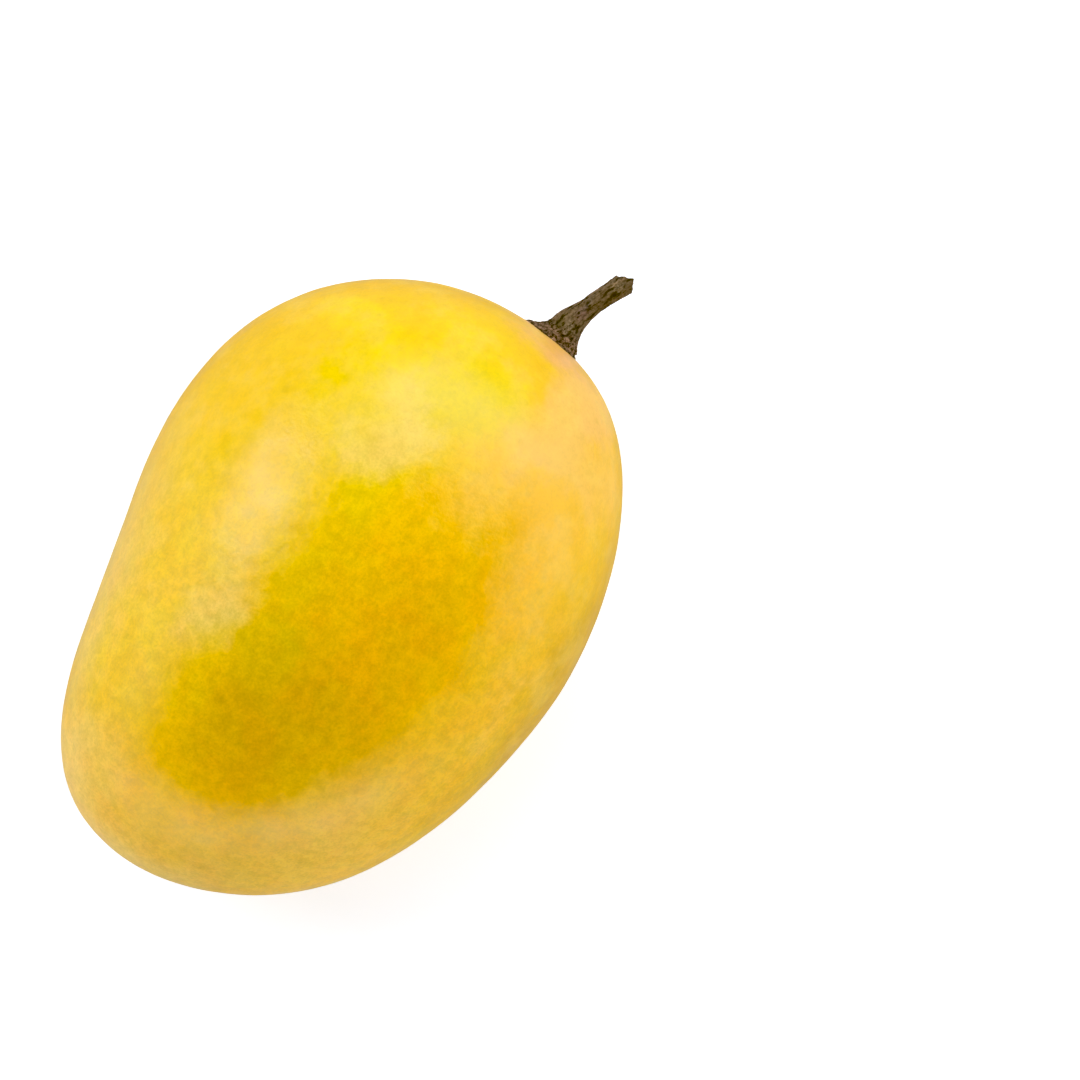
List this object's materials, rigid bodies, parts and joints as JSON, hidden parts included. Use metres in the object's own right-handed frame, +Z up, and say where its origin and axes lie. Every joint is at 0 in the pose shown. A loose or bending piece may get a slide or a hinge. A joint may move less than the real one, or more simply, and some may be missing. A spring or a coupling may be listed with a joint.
{
  "type": "mango",
  "caption": "Whole ripe yellow mango with a short woody stem, lying on a broad cheek; food prop or light load for bowls, crates, shelves and grippers.",
  "frame": {"origin": "middle of the small flat spot on the lower cheek that the fruit rests on, under its weight", "axes": "+X along the fruit to its stem end, +Y to the belly edge with the shallow hollow and the beak, +Z up through the two cheeks"},
  "size_m": [0.1251, 0.0786, 0.0653],
  "materials": {
    "skin": "satin",
    "bark": "matte"
  },
  "bodies": {
    "root": {"fruit": "skin", "stem": "bark"}
  },
  "joints": []
}
